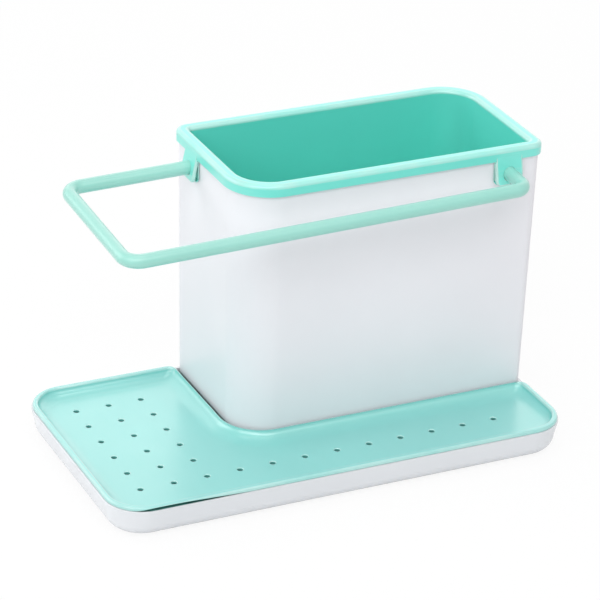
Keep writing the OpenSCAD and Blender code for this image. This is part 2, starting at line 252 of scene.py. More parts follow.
def box_outline(low: Flat, high: Flat, radii: Sequence[float]) -> Outline:
    """Outline of a rounded rectangle.

    Args:
        low: Front left corner.
        high: Back right corner.
        radii: Corner radii from the front left one, counter-clockwise.

    Returns:
        The outline.
    """
    return Outline((low, (high[0], low[1]), high, (low[0], high[1])), tuple(radii))


@dataclass
class Draft:
    """Vertices and faces of one piece while it is drawn, in mm."""

    points: list[Vector] = field(default_factory=list)
    faces: list[tuple[int, ...]] = field(default_factory=list)

    def skin(self, rings: Sequence[Ring], closed: bool = False) -> list[list[int]]:
        """Joins rings of equal length by faces.

        Args:
            rings: Counter-clockwise rings, from the outside to the inside.
            closed: Whether the last ring is joined to the first one.

        Returns:
            The numbers of each ring's points.
        """
        numbers = []
        for ring in rings:
            numbers.append(list(range(len(self.points), len(self.points) + len(ring))))
            self.points.extend(ring)
        for a, b in zip(numbers, numbers[1:] + (numbers[:1] if closed else [])):
            for i in range(len(a)):
                j = (i + 1) % len(a)
                self.faces.append((a[i], a[j], b[j], b[i]))
        return numbers

    def shell(self, rings: Sequence[Ring]) -> None:
        """Joins rings into a closed skin, flat at both ends.

        Args:
            rings: Counter-clockwise rings of equal length, from the outside to the inside.
        """
        numbers = self.skin(rings)
        self.faces += [tuple(reversed(numbers[0])), tuple(numbers[-1])]

    def lathe(self, centre: Flat, section: Section, hollow: bool = False, steps: int = 48) -> None:
        """Turns a section about an upright axis.

        Args:
            centre: Place of the axis.
            section: Points as (radius, height), from the bottom outwards, up and in.
            hollow: Whether the section closes on itself round a bore.
            steps: Points round the axis.
        """
        x, y = centre
        turns = [2 * math.pi * k / steps for k in range(steps)]
        rings = [[Vector((x + r * math.cos(t), y + r * math.sin(t), z)) for t in turns] for r, z in section]
        if hollow:
            self.skin(rings, closed=True)
        else:
            self.shell(rings)

    def build(self, name: str) -> bpy.types.Object:
        """Makes the object, at the origin and in metres.

        Args:
            name: Name of the piece.

        Returns:
            The new object, linked to the scene.
        """
        mesh = bpy.data.meshes.new(name)
        mesh.from_pydata([p * MM for p in self.points], [], self.faces)
        mesh.validate()
        return add_object(name, mesh)


def solid(name: str, rings: Sequence[Ring]) -> bpy.types.Object:
    """Makes the object of a closed skin through rings.

    Args:
        name: Name of the piece.
        rings: Counter-clockwise rings of equal length, from the outside to the inside.

    Returns:
        The new object.
    """
    draft = Draft()
    draft.shell(rings)
    return draft.build(name)


def flatten(piece: bpy.types.Object) -> None:
    """Replaces a piece's mesh by its evaluated one and takes its modifiers off.

    Args:
        piece: A piece with modifiers.
    """
    bpy.context.view_layer.update()
    graph = bpy.context.evaluated_depsgraph_get()
    mesh = bpy.data.meshes.new_from_object(piece.evaluated_get(graph), depsgraph=graph)
    old = piece.data
    piece.modifiers.clear()
    piece.data = mesh
    bpy.data.meshes.remove(old)
    mesh.name = piece.name


def smooth(piece: bpy.types.Object, angle: float = 32.0, weight: int = 80) -> None:
    """Shades a piece smooth between its sharp edges, with flat faces kept flat.

    Args:
        piece: A piece without modifiers.
        angle: Angle in degrees from which an edge stays sharp.
        weight: How strongly large faces pull the shading, of which 50 is even.
    """
    piece.data.shade_smooth()
    piece.data.set_sharp_from_angle(angle=math.radians(angle))
    weigh = piece.modifiers.new("weigh", "WEIGHTED_NORMAL")
    weigh.keep_sharp = True
    weigh.weight = weight
    flatten(piece)
    mark_wear_and_shade(piece)


def mark_wear_and_shade(piece: bpy.types.Object, outward: Flat = (0.3, 0.7), inward: Flat = (0.75, 1.0)) -> None:
    """Stores on each face how tightly the surface bends there, for the wear of the finish and for painted shade.

    The value runs up to 1 on edges that are rubbed and down to -1 in narrow hollows, which the materials darken as
    painted shade.

    Args:
        piece: A piece without modifiers.
        outward: Bends, as one over a radius in mm, at which wear on an edge begins and is full.
        inward: Bends at which a hollow begins to take painted shade and takes it fully.
    """
    work = bmesh.new()
    work.from_mesh(piece.data)
    areas = [face.calc_area() / MM**2 for face in work.faces]
    bends = [0.0] * len(areas)
    hollows = [0.0] * len(areas)
    for edge in work.edges:
        if len(edge.link_faces) != 2:
            continue
        turn = edge.calc_face_angle_signed(0.0) * edge.calc_length() / MM
        for number in (face.index for face in edge.link_faces):
            bend = turn / max(1e-6, areas[number])
            bends[number] = max(bends[number], bend)
            hollows[number] = max(hollows[number], -bend)
    work.free()
    worn, deep = ([ramp(b, *limits) for b in each] for each, limits in ((bends, outward), (hollows, inward)))
    shares = [-d if d > 0 else w for w, d in zip(worn, deep)]
    piece.data.attributes.new(WEAR_AND_SHADE, "FLOAT", "FACE").data.foreach_set("value", shares)


def join(target: bpy.types.Object, other: bpy.types.Object) -> None:
    """Joins another object into a target and removes it.

    Args:
        target: Object that stays.
        other: Object whose mesh is added.
    """
    bpy.ops.object.select_all(action="DESELECT")
    for each in (target, other):
        each.select_set(True)
    bpy.context.view_layer.objects.active = target
    bpy.ops.object.join()


def fix_normals(piece: bpy.types.Object, apart_mm: float = 0.004) -> None:
    """Turns all faces of a closed piece outwards and merges its doubled points.

    Args:
        piece: The piece.
        apart_mm: Distance up to which two points count as one.
    """
    work = bmesh.new()
    work.from_mesh(piece.data)
    bmesh.ops.remove_doubles(work, verts=work.verts, dist=apart_mm * MM)
    bmesh.ops.recalc_face_normals(work, faces=work.faces)
    work.to_mesh(piece.data)
    work.free()


def join_solids(target: bpy.types.Object, other: bpy.types.Object) -> None:
    """Unites a closed piece with another one, which is then removed.

    Args:
        target: Piece that stays.
        other: Piece that becomes part of it.
    """
    step = target.modifiers.new("unite", "BOOLEAN")
    step.operation = "UNION"
    step.solver = "EXACT"
    step.object = other
    flatten(target)
    bpy.data.objects.remove(other)


def run_tree(piece: bpy.types.Object, tree: Tree, values: dict[str, Any]) -> None:
    """Runs a geometry tree on a piece and keeps the plain mesh that it gives.

    Args:
        piece: Piece whose mesh goes in.
        tree: Geometry tree.
        values: Values of the tree's inputs, by their names.
    """
    step = piece.modifiers.new(tree.name, "NODES")
    step.node_group = tree
    sockets = {s.name: s.identifier for s in tree.interface.items_tree if s.in_out == "INPUT"}
    for name, value in values.items():
        step[sockets[name]] = value
    flatten(piece)


def new_tree(name: str, sockets: dict[str, str]) -> tuple[Tree, bpy.types.NodeOutputs]:
    """Starts a geometry tree with a mesh going in and a mesh coming out.

    Args:
        name: Name of the tree.
        sockets: Name and kind of each further input.

    Returns:
        The tree and the sockets of its inputs.
    """
    tree = bpy.data.node_groups.new(name, "GeometryNodeTree")
    for way in ("INPUT", "OUTPUT"):
        tree.interface.new_socket("Geometry", in_out=way, socket_type="NodeSocketGeometry")
    for label, kind in sockets.items():
        tree.interface.new_socket(label, in_out="INPUT", socket_type=f"NodeSocket{kind}")
    return tree, add_node(tree, "NodeGroupInput").outputs


def end_tree(tree: Tree, geometry: Socket, material: Socket) -> None:
    """Ends a geometry tree with real geometry in its material.

    Args:
        tree: Geometry tree.
        geometry: Socket of what was made.
        material: Socket of the material.
    """
    whole = add_node(tree, "GeometryNodeRealizeInstances", {"Geometry": geometry})
    dressed = add_node(tree, "GeometryNodeSetMaterial", {"Geometry": whole.outputs[0], "Material": material})
    add_node(tree, "NodeGroupOutput", {"Geometry": dressed.outputs[0]})


def perforation_tree(sides: int = 32, levels: int = 41) -> Tree:
    """Geometry tree that pierces a mesh with a grid of holes whose edges are rounded.

    Args:
        sides: Number of flat sides round a hole.
        levels: Number of rings along it.

    Returns:
        The tree. Lengths go in as metres.
    """
    lengths = ("Column Spacing", "Row Spacing", "Hole Radius", "Edge Radius", "Depth", "Overrun")
    kinds = {"Columns": "Int", "Rows": "Int", "Centre": "Vector", "Turn": "Rotation", "Material": "Material"}
    tree, given = new_tree("perforations", {**kinds, **dict.fromkeys(lengths, "Float")})
    work = partial(calc, tree)
    size_x, size_y = (
        work("MULTIPLY", work("SUBTRACT", given[count], 1.0), given[gap])
        for count, gap in (("Columns", "Column Spacing"), ("Rows", "Row Spacing"))
    )
    counts = {"Vertices X": given["Columns"], "Vertices Y": given["Rows"]}
    grid = add_node(tree, "GeometryNodeMeshGrid", {"Size X": size_x, "Size Y": size_y, **counts})
    # The cutter is a straight tube round a vertical line, whose radius grows in an arc at both surfaces
    edge = given["Edge Radius"]
    half = work("MULTIPLY", given["Depth"], 0.5)
    reach = work("ADD", half, given["Overrun"])
    bottom, top = (
        add_node(tree, "ShaderNodeCombineXYZ", {"Z": z}).outputs[0] for z in (work("MULTIPLY", reach, -1.0), reach)
    )
    line = add_node(tree, "GeometryNodeCurvePrimitiveLine", {"Start": bottom, "End": top})
    fine = add_node(tree, "GeometryNodeResampleCurve", {"Curve": line.outputs[0], "Count": levels})
    place = add_node(tree, "GeometryNodeInputPosition").outputs[0]
    height = add_node(tree, "ShaderNodeSeparateXYZ", {"Vector": place}).outputs["Z"]
    into = work("SUBTRACT", work("ABSOLUTE", height), work("SUBTRACT", half, edge))
    share = work("DIVIDE", into, edge, clamp=True)
    root = work("SQRT", work("SUBTRACT", 1.0, work("MULTIPLY", share, share)))
    swell = work("MULTIPLY", work("SUBTRACT", 1.0, root), edge)
    radius = work("ADD", swell, given["Hole Radius"])
    ring = add_node(tree, "GeometryNodeCurvePrimitiveCircle", {"Resolution": sides, "Radius": 1.0})
    tube = add_node(
        tree,
        "GeometryNodeCurveToMesh",
        {"Curve": fine.outputs[0], "Profile Curve": ring.outputs[0], "Scale": radius, "Fill Caps": True},
    )
    copies = add_node(tree, "GeometryNodeInstanceOnPoints", {"Points": grid.outputs[0], "Instance": tube.outputs[0]})
    moved = add_node(
        tree,
        "GeometryNodeTransform",
        {"Geometry": copies.outputs[0], "Translation": given["Centre"], "Rotation": given["Turn"]},
    )
    real = add_node(tree, "GeometryNodeRealizeInstances", {"Geometry": moved.outputs[0]})
    cut = add_node(
        tree,
        "GeometryNodeMeshBoolean",
        {"Mesh 1": given["Geometry"], "Mesh 2": real.outputs[0]},
        operation="DIFFERENCE",
        solver="EXACT",
    )
    end_tree(tree, cut.outputs[0], given["Material"])
    return tree


def rod_tree(sides: int = 48, bend_steps: int = 20) -> Tree:
    """Geometry tree that sweeps a round rod along a line of corners and rounds its bends.

    Args:
        sides: Number of flat sides round the rod.
        bend_steps: Number of points along a bend.

    Returns:
        The tree. Lengths go in as metres.
    """
    lengths = dict.fromkeys(("Rod Radius", "Bend Radius", "Last Bend Radius"), "Float")
    tree, given = new_tree("rod", {**lengths, "Last Bend": "Int", "Material": "Material"})
    line = add_node(tree, "GeometryNodeMeshToCurve", {"Mesh": given["Geometry"]})
    number = add_node(tree, "GeometryNodeInputIndex").outputs[0]
    whole_numbers = {2: number, 3: given["Last Bend"]}
    last = add_node(tree, "FunctionNodeCompare", whole_numbers, data_type="INT", operation="EQUAL")
    choices = {"False": given["Bend Radius"], "True": given["Last Bend Radius"]}
    bend = add_node(tree, "GeometryNodeSwitch", {"Switch": last.outputs[0], **choices}, input_type="FLOAT")
    rounding = {"Curve": line.outputs[0], "Radius": bend.outputs[0], "Count": bend_steps}
    rounded = add_node(tree, "GeometryNodeFilletCurve", rounding, mode="POLY")
    circle = {"Resolution": sides, "Radius": given["Rod Radius"]}
    ring = add_node(tree, "GeometryNodeCurvePrimitiveCircle", circle)
    swept = add_node(
        tree,
        "GeometryNodeCurveToMesh",
        {"Curve": rounded.outputs[0], "Profile Curve": ring.outputs[0], "Fill Caps": True},
    )
    end_tree(tree, swept.outputs[0], given["Material"])
    return tree


@dataclass(frozen=True)
class Polymer:
    """Pigmented polymer as it leaves its tool, after some months of use.

    The melt leaves broad, faint clouds in the colour and a slow ripple that bends reflections.
    The pigment runs all through, so a rubbed edge shows no other colour and only turns paler. Narrow hollows get a
    painted shade, a darker colour standing in for the shadow that falls in them.
    """

    name: str
    colour: str
    cloud: str
    worn: str
    # Painted shade: darker colour mixed into narrow hollows and creases, standing in for their shadow
    hollow: str
    roughness: float
    grain: Grain
    coat: float = 0.0
    coat_roughness: float = 0.34
    coat_ior: float = 1.5
    ior: float = 1.5
    detail: float = 2.0
    cloud_mm: float = 55.0
    cloud_detail: float = 3.0
    cloud_span: Flat = (0.35, 0.65)
    ripple_mm: float = 24.0
    ripple_detail: float = 1.0
    ripple_depth_mm: float = 0.03
    rub_mm: float = 16.0
    rub_span: Flat = (0.3, 0.6)
    rub_share: Flat = (0.35, 1.0)
    patch_span: Flat = (0.3, 0.7)
    patch_rough: Flat = (0.9, 1.08)
    hairline_mm: float = 2.4
    hairline_turn: tuple[float, float, float] = (0.4, 0.5, 0.9)
    hairline_span: Flat = (0.55, 0.75)
    hairline_stretch: float = 0.12
    hairline_rise: float = 0.12

    def build(self) -> bpy.types.Material:
        """Makes the material.

        Returns:
            A material that reads object coordinates and the faces' edge value.
        """
        made = bpy.data.materials.new(self.name)
        tree = clear_tree(made)
        place = add_node(tree, "ShaderNodeTexCoord").outputs["Object"]

        def noise(size_mm: float, detail: float = self.detail, vector: Socket = place) -> Socket:
            """Noise of a size in mm."""
            inputs = {"Vector": vector, "Scale": 1 / (size_mm * MM), "Detail": detail}
            return add_node(tree, "ShaderNodeTexNoise", inputs).outputs[0]

        def blend(share: Socket, first: Any, second: Any) -> Socket:
            """Mix of two colours."""
            return add_node(tree, "ShaderNodeMix", {0: share, 6: first, 7: second}, data_type="RGBA").outputs[2]

        def bump(height: Socket, depth_mm: float, **under: Socket) -> Socket:
            """Normal of a relief with a depth in mm, on top of another one."""
            inputs = {"Height": height, "Distance": depth_mm * MM, "Strength": 1.0, **under}
            return add_node(tree, "ShaderNodeBump", inputs).outputs[0]

        clouds = remap(tree, noise(self.cloud_mm, self.cloud_detail), self.cloud_span)
        fresh = blend(clouds, linear(self.colour), linear(self.cloud))
        rub = noise(self.rub_mm)
        # Wear along edges: paler where the surface bends tightly and hands or cloths have rubbed it
        edge = add_node(tree, "ShaderNodeAttribute", attribute_name=WEAR_AND_SHADE).outputs["Fac"]
        wear = calc(tree, "MULTIPLY", edge, remap(tree, rub, self.rub_span, self.rub_share))
        rubbed = blend(wear, fresh, linear(self.worn))
        # Painted shade: narrow hollows are mixed towards the darker hollow colour, standing in for the shadow in
        # creases
        colour = blend(remap(tree, edge, (0.0, -1.0)), rubbed, linear(self.hollow))
        # Hairlines of wiping: real ones are hundredths of a millimetre wide and are drawn as soft streaks
        stretch = {"Rotation": self.hairline_turn, "Scale": (1.0, self.hairline_stretch, 1.0)}
        turned = add_node(tree, "ShaderNodeMapping", {"Vector": place, **stretch}).outputs[0]
        streaks = noise(self.hairline_mm, vector=turned)
        hairlines = remap(tree, streaks, self.hairline_span, (0.0, self.roughness * self.hairline_rise))
        low, high = (self.roughness * share for share in self.patch_rough)
        patches = remap(tree, rub, self.patch_span, (low, high))
        slow = bump(noise(self.ripple_mm, self.ripple_detail), self.ripple_depth_mm)
        grain_mm, grain_depth_mm = self.grain.value
        shader = add_node(
            tree,
            "ShaderNodeBsdfPrincipled",
            {
                "Base Color": colour,
                "Roughness": calc(tree, "ADD", patches, hairlines),
                "Normal": bump(noise(grain_mm), grain_depth_mm, Normal=slow),
                "IOR": self.ior,
                "Coat Weight": self.coat,
                "Coat Roughness": self.coat_roughness,
                "Coat IOR": self.coat_ior,
            },
        )
        add_node(tree, "ShaderNodeOutputMaterial", {"Surface": shader.outputs[0]})
        return made


@dataclass(frozen=True)
class Finishes:
    """Materials of the whole caddy by the record's slots, named for their material and process.

    The mint coats' refractive indices are above a real plastic's, to bring the gloss near the photo.
    """

    # In every polymer below, the last colour is painted shade for narrow hollows and creases
    # Injection-moulded polypropylene from polished steel: an even skin with clear, soft-edged reflections
    base_white: Polymer = Polymer(
        "injection_moulded_polypropylene_gloss_white",
        "#dde0e4", "#e0e3e7", "#d8dade", "#b4b8be", 0.21, Grain.POLISHED, 0.2, 0.2,
    )
    # Injection-moulded polypropylene from blasted steel: a silky skin that spreads the reflections
    bin_white: Polymer = Polymer(
        "injection_moulded_polypropylene_satin_white",
        "#e6e5ea", "#e9e8ed", "#dfe0e4", "#c2c5cb", 0.36, Grain.SATIN,
    )
    # The same polypropylene in mint, gloss: the dish mirrors the pale room at a low angle
    # Its near-black teal last colour is painted shade, deepest in the slit under the warped lip
    tray_mint: Polymer = Polymer(
        "injection_moulded_polypropylene_gloss_mint",
        "#79ccc6", "#7dcfc9", "#a2d6d1", "#1d6a60", 0.4, Grain.POLISHED, 1.0, 0.25, 1.85,
    )
    # Mint again with a satin skin: deep colour inside the well, a pale sheen on the rolled rim
    liner_mint: Polymer = Polymer(
        "injection_moulded_polypropylene_satin_mint",
        "#62ddcf", "#66e0d2", "#b4dad3", "#4cc0b0", 0.36, Grain.SATIN, 1.0, 0.36, 1.9,
    )
    # Extruded polypropylene rod, bent warm: a smooth drawn skin, slightly milky
    rail_mint: Polymer = Polymer(
        "extruded_polypropylene_rod_mint",
        "#8acdc0", "#8ed0c3", "#a2d5cc", "#4a9f90", 0.38, Grain.SATIN, 1.0, 0.34, 1.6,
    )
    # Compression-moulded silicone: matt and slightly dusty
    foot_pad: Polymer = Polymer(
        "compression_moulded_silicone_grey", "#b9bcc0", "#bdc0c4", "#c6c8cb", "#85888d", 0.75, Grain.RUBBED
    )


@dataclass(frozen=True)
class Hole:
    """Round hole with rounded edges, in mm. Its cutter stands out of the wall by the overrun."""

    radius: float
    edge_r: float = 0.3
    overrun: float = 0.4


@dataclass
class Kit:
    """What every sub-assembly needs: the built materials and the geometry trees."""

    materials: dict[str, bpy.types.Material]
    perforate: Tree
    sweep: Tree

    def pierce(
        self,
        piece: bpy.types.Object,
        slot: str,
        hole: Hole,
        counts: Sequence[int],
        pitch: Sequence[float],
        centre: Vector,
        depth: float,
        turn: Euler | None = None,
    ) -> None:
        """Cuts a grid of holes into a piece, in mm.

        Args:
            piece: Piece to pierce.
            slot: Material slot of the piece.
            hole: Size of the holes.
            counts: Number of holes across and deep.
            pitch: Their spacing across and deep.
            centre: Middle of the grid and of the wall's thickness.
            depth: Thickness of the wall.
            turn: Turn of the grid, or None for upright holes.
        """
        values = {
            "Columns": counts[0],
            "Rows": counts[1],
            "Column Spacing": pitch[0] * MM,
            "Row Spacing": pitch[1] * MM,
            "Centre": centre * MM,
            "Hole Radius": hole.radius * MM,
            "Edge Radius": hole.edge_r * MM,
            "Depth": depth * MM,
            "Overrun": hole.overrun * MM,
            "Material": self.materials[slot],
        }
        if turn is not None:
            values["Turn"] = turn
        run_tree(piece, self.perforate, values)

    def dress(self, piece: bpy.types.Object, slot: str, body: Body, *nodes: str) -> None:
        """Gives a finished piece its material, body and the CAD nodes that it stands for.

        Args:
            piece: The finished piece.
            slot: Material slot of the record, which is also the material's key.
            body: Body to ride on.
            nodes: CAD nodes that the piece replaces.
        """
        piece.data.materials.clear()
        piece.data.materials.append(self.materials[slot])
        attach(piece, body.value)
        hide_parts(*nodes)
        LOG.info("%s: %d faces on %s", piece.name, len(piece.data.polygons), body.value)


@dataclass
class BaseAssembly:
    """White base tray with the rib round the bin's foot, and its four pads, in mm."""

    kit: Kit
    half: Flat = (105.2, 57.0)
    corner_r: float = 17.0
    stand: float = 1.0
    rim_z: float = 14.3
    wall: float = 1.5
    draft: float = 1.4
    edge_r: float = 6.5
    rim_r: float = 0.5
    rim_inner_r: float = 0.35
    rib_low: Flat = (-24.9, -6.4)
    rib_high: Flat = (96.4, 48.2)
    rib_radii: tuple[float, ...] = (10.3, 3.2, 10.3, 3.2)
    rib_gap: float = 0.4
    rib_wall: float = 1.4
    rib_top: float = 5.5
    rib_open: float = 9.0
    rib_sunk: float = 0.4
    recess: Hole = Hole(6.1, 0.15, 0.0)
    recess_z: float = 0.4
    pad_r: float = 6.0
    pad_inset: float = 19.0
    pad_core_r: float = 0.6
    pad_hollow: Flat = (2.4, 0.12)
    pad_land_r: float = 3.0
    pad_land_bend: Flat = (0.3, 0.2)
    pad_low_r: float = 0.35
    pad_top_r: float = 0.15

    def section(self) -> Section:
        """Section of the wall, from the outer bottom over the rim to the inner floor.

        Returns:
            Points as (offset, height).
        """
        bend = (-self.draft - self.edge_r, self.stand + self.edge_r)
        inner = self.rim_inner_r
        return [
            *arc(bend, self.edge_r, -90, 0, 10),
            *arc((-self.rim_r, self.rim_z - self.rim_r), self.rim_r, 0, 90, 5),
            *arc((-self.wall - inner, self.rim_z - inner), inner, 90, 0, 4),
            *arc(bend, self.edge_r - self.wall, 0, -90, 10),
        ]

    def rib_paths(self) -> list[Ring]:
        """Middle lines of the four angled ribs, open at the middle of each side.

        Returns:
            The points of each line.
        """
        outline = box_outline(self.rib_low, self.rib_high, self.rib_radii)
        ring = outline.ring(self.rib_gap + self.rib_wall / 2, 0.0)
        step = outline.steps + 1
        middle = [(a + b) / 2 for a, b in zip(self.rib_low, self.rib_high)]
        paths = []
        for i in range(len(outline.corners)):
            corner = ring[i * step : (i + 1) * step]
            first, last = corner[0].copy(), corner[-1].copy()
            along = 1 - i % 2
            for end, axis in ((first, along), (last, 1 - along)):
                end[axis] = middle[axis] + math.copysign(self.rib_open / 2, end[axis] - middle[axis])
            paths.append([first, *corner, last])
        return paths

    def ribs(self) -> Draft:
        """Draws the four ribs with their rounded tops.

        Returns:
            The ribs' draft.
        """
        half = self.rib_wall / 2
        low = self.stand + self.wall - self.rib_sunk
        section = [(-half, low), (half, low), *arc((0, self.rib_top - half), half, 0, 180)]
        draft = Draft()
        for path in self.rib_paths():
            rings = []
            for i, point in enumerate(path):
                ahead = path[min(i + 1, len(path) - 1)] - path[max(i - 1, 0)]
                side = Vector((ahead.y, -ahead.x, 0)).normalized()
                rings.append([Vector((point.x, point.y, z)) + side * x for x, z in section])
            draft.shell(rings)
        return draft

    def build_shell(self) -> None:
        """Makes the base tray with its ribs and the recesses of its pads."""
        low = (-self.half[0], -self.half[1])
        outline = box_outline(low, self.half, [self.corner_r] * 4)
        piece = solid("base_shell", outline.sweep(self.section()))
        pitch = [2 * (h - self.pad_inset) for h in self.half]
        centre = Vector((0, 0, self.stand))
        self.kit.pierce(piece, "base_white", self.recess, (2, 2), pitch, centre, 2 * self.recess_z)
        join(piece, self.ribs().build("ribs"))
        smooth(piece)
        self.kit.dress(piece, "base_white", Body.BASE, "base_tray")

    def build_pads(self) -> None:
        """Makes the four pads, each with a rounded edge and a shallow hollow underneath."""
        top = self.stand + self.recess_z
        low_r, top_r = self.pad_low_r, self.pad_top_r
        section = [
            (self.pad_core_r, self.pad_hollow[1]),
            self.pad_hollow,
            *arc((self.pad_land_r, self.pad_land_bend[1]), self.pad_land_bend, 200, 270, 4),
            *arc((self.pad_r - low_r, low_r), low_r, -90, 0, 6),
            *arc((self.pad_r - top_r, top - top_r), top_r, 0, 90, 4),
            (self.pad_core_r, top),
        ]
        places = {"front_left": (-1, -1), "front_right": (1, -1), "back_left": (-1, 1), "back_right": (1, 1)}
        for name, (x, y) in places.items():
            draft = Draft()
            draft.lathe((x * (self.half[0] - self.pad_inset), y * (self.half[1] - self.pad_inset)), section)
            piece = draft.build(f"pad_{name}")
            smooth(piece)
            self.kit.dress(piece, "foot_pad", Body.BASE, f"foot_{name}")

    def build(self) -> None:
        """Makes the base and its pads."""
        self.build_shell()
        self.build_pads()


@dataclass
class DrainTray:
    """Mint tray in the shape of an L, with a rounded lip, sloping edges and drain holes, in mm."""

    kit: Kit
    half: Flat = (104.6, 56.4)
    corner_r: float = 16.4
    inner_corner: Flat = (-33.7, -14.2)
    inner_r: float = 18.1
    end_r: float = 4.0
    soft_r: float = 3.0
    top_z: float = 16.1
    rim_z: float = 14.3
    under_z: float = 10.5
    dish_z: float = 12.1
    dish_run: float = 0.6
    lip_w: float = 2.4
    lip_r: float = 0.9
    lip_bevel: float = 0.15
    slope_w: float = 6.0
    bin_edge: float = 0.2
    skirt: Flat = (-2.08, -1.3)
    skirt_bevel: float = 0.4
    hole: Hole = Hole(1.2, 0.5, 0.3)
    pitch: Flat = (15.0, 14.55)
    first_hole: Flat = (-86.26, -34.36)
    block: tuple[int, int] = (3, 6)
    row: int = 9
    floor_z: float = 2.5
    post_r: float = 3.0
    post_bore_r: float = 1.5
    post_bevel: float = 0.2
    post_edge_r: float = 0.3
    post_sunk: float = 0.3
    posts: tuple[Flat, ...] = ((-39.7, 40.4), (-39.7, -20.2), (88.6, -20.2))
    # Heights above the base's rim: both faces of the ledge, the notch, and the lip's lower edge
    ledge: tuple[float, ...] = (-0.02, 0.02, 0.06, 0.1, 0.12, 0.27)
    overhang: float = 0.45
    # Along the front: where the warp begins, is full, begins to fade and ends
    warp_x: tuple[float, ...] = (-98.0, -88.0, -84.0, -42.0)
    warp_steps: int = 14
    warp_z: float = 1.35
    warp_edge: float = 0.92
    warp_in: float = 0.3

    def outline(self) -> Outline:
        """Outline of the lip: front left, front right, right end, inner corner, back end and back left.

        Returns:
            The outline.
        """
        x, y = self.half
        corner_x, corner_y = self.inner_corner
        corners = ((-x, -y), (x, -y), (x, corner_y), (corner_x, corner_y), (corner_x, y), (-x, y))
        radii = (self.corner_r, self.corner_r, self.end_r, self.inner_r, self.end_r, self.corner_r)
        return Outline(corners, radii, self.soft_r)

    def rings(self) -> list[Ring]:
        """Rings of the skin, from the underside round the lip and down the slope to the dish.

        Returns:
            Rings of equal length.
        """
        outline = self.outline()

        def ring(height: float, outer: float, beside_bin: float, front: float = 0.0) -> Ring:
            """One ring, with more points along the front where the lip is warped.

            Args:
                height: Height of the ring.
                outer: Offset of the sides away from the bin.
                beside_bin: Offset of the two sides that face the bin.
                front: Further offset of the front.

            Returns:
                The ring's points.
            """
            points = outline.ring([outer + front, outer, beside_bin, beside_bin, outer, outer], height)
            last = outline.steps
            a, b = points[last], points[last + 1]
            reach = (self.warp_x[3] - a.x) / (b.x - a.x)
            added = [a.lerp(b, reach * k / self.warp_steps) for k in range(1, self.warp_steps + 1)]
            return points[: last + 1] + added + points[last + 1 :]

        low, high = self.skirt
        ledge = [self.rim_z + z for z in self.ledge]
        over, bevel = self.overhang, self.skirt_bevel
        # A thin ledge lies on the base's rim, and the lip stands off it where it is warped
        # The narrow faces of the notch count as hollows and take the material's painted shade
        rings = [
            ring(self.under_z, low - bevel, -bevel),
            ring(self.under_z + bevel, low, 0),
            ring(ledge[0], high, 0),
            ring(ledge[1], -self.lip_r / 2, 0, over),
            self.warp(ring(ledge[2], high, 0), 0.0, self.warp_in),
            self.warp(ring(ledge[3], high, 0), self.warp_z, self.warp_in),
            self.warp(ring(ledge[4], -self.lip_bevel, 0, over), self.warp_z),
            self.warp(ring(ledge[5], 0, 0, over), self.warp_z * self.warp_edge),
        ]
        lip_z = self.top_z - self.lip_r
        tight = self.lip_r / 2
        for x, z in arc((-self.lip_r, lip_z), self.lip_r, 0, 90):
            beside_bin = bulge(tight, z - self.top_z + tight) - tight
            lift = self.warp_z * (self.top_z - z) / (self.top_z - self.rim_z)
            rings.append(self.warp(ring(z, x, beside_bin, over), lift))
        wide = self.lip_w + self.slope_w
        inside = [
            *arc((-self.lip_w + self.lip_r, lip_z), self.lip_r, 90, 180),
            *arc((-wide, lip_z), (self.slope_w, lip_z - self.dish_z), 0, -90, 16)[1:],
            (-wide - self.dish_run, self.dish_z),
        ]
        # Beside the bin there is no bead: the slope runs up to a tight edge
        for x, z in inside:
            share = bulge(1.0, (self.top_z - z) / (self.top_z - self.dish_z))
            bend = -wide + (wide - tight - self.bin_edge) * share
            rings.append(ring(z, x, min(bend, bend + x + wide)))
        return rings

    def warp(self, ring: Ring, height: float, inwards: float = 0.0) -> Ring:
        """Lifts a ring at the left of the front, where the lip stands off the base.

        Args:
            ring: Ring of the underside or of the lip's outside.
            height: Largest lift in mm.
            inwards: Largest move towards the back in mm.

        Returns:
            The same ring.
        """
        start, full, fade, end = self.warp_x
        for point in ring:
            if point.y < -self.half[1] + self.corner_r / 2:
                share = ease(min(ramp(point.x, start, full), ramp(point.x, end, fade)))
                point.z += height * share
                point.y += inwards * share
        return ring

    def build(self) -> None:
        """Makes the tray with its holes and posts."""
        piece = solid("drain_dish", self.rings())
        x, y = self.first_hole
        middle_z = (self.dish_z + self.under_z) / 2
        # The block of holes on the left comes first, then the rest of the front row
        for (across, deep), before in ((self.block, 0), ((self.row, 1), self.block[0])):
            middle_x = x + (before + (across - 1) / 2) * self.pitch[0]
            centre = Vector((middle_x, y + (deep - 1) / 2 * self.pitch[1], middle_z))
            depth = self.dish_z - self.under_z
            self.kit.pierce(piece, "tray_mint", self.hole, (across, deep), self.pitch, centre, depth)
        top, edge_r = self.under_z + self.post_sunk, self.post_edge_r
        section = [
            (self.post_bore_r, self.floor_z + self.post_bevel),
            (self.post_bore_r + self.post_bevel, self.floor_z),
            *arc((self.post_r - edge_r, self.floor_z + edge_r), edge_r, -90, 0, 4),
            (self.post_r, top),
            (self.post_bore_r, top),
        ]
        posts = Draft()
        for place in self.posts:
            posts.lathe(place, section, hollow=True)
        join(piece, posts.build("posts"))
        smooth(piece)
        self.kit.dress(piece, "tray_mint", Body.TRAY, "drain_tray")


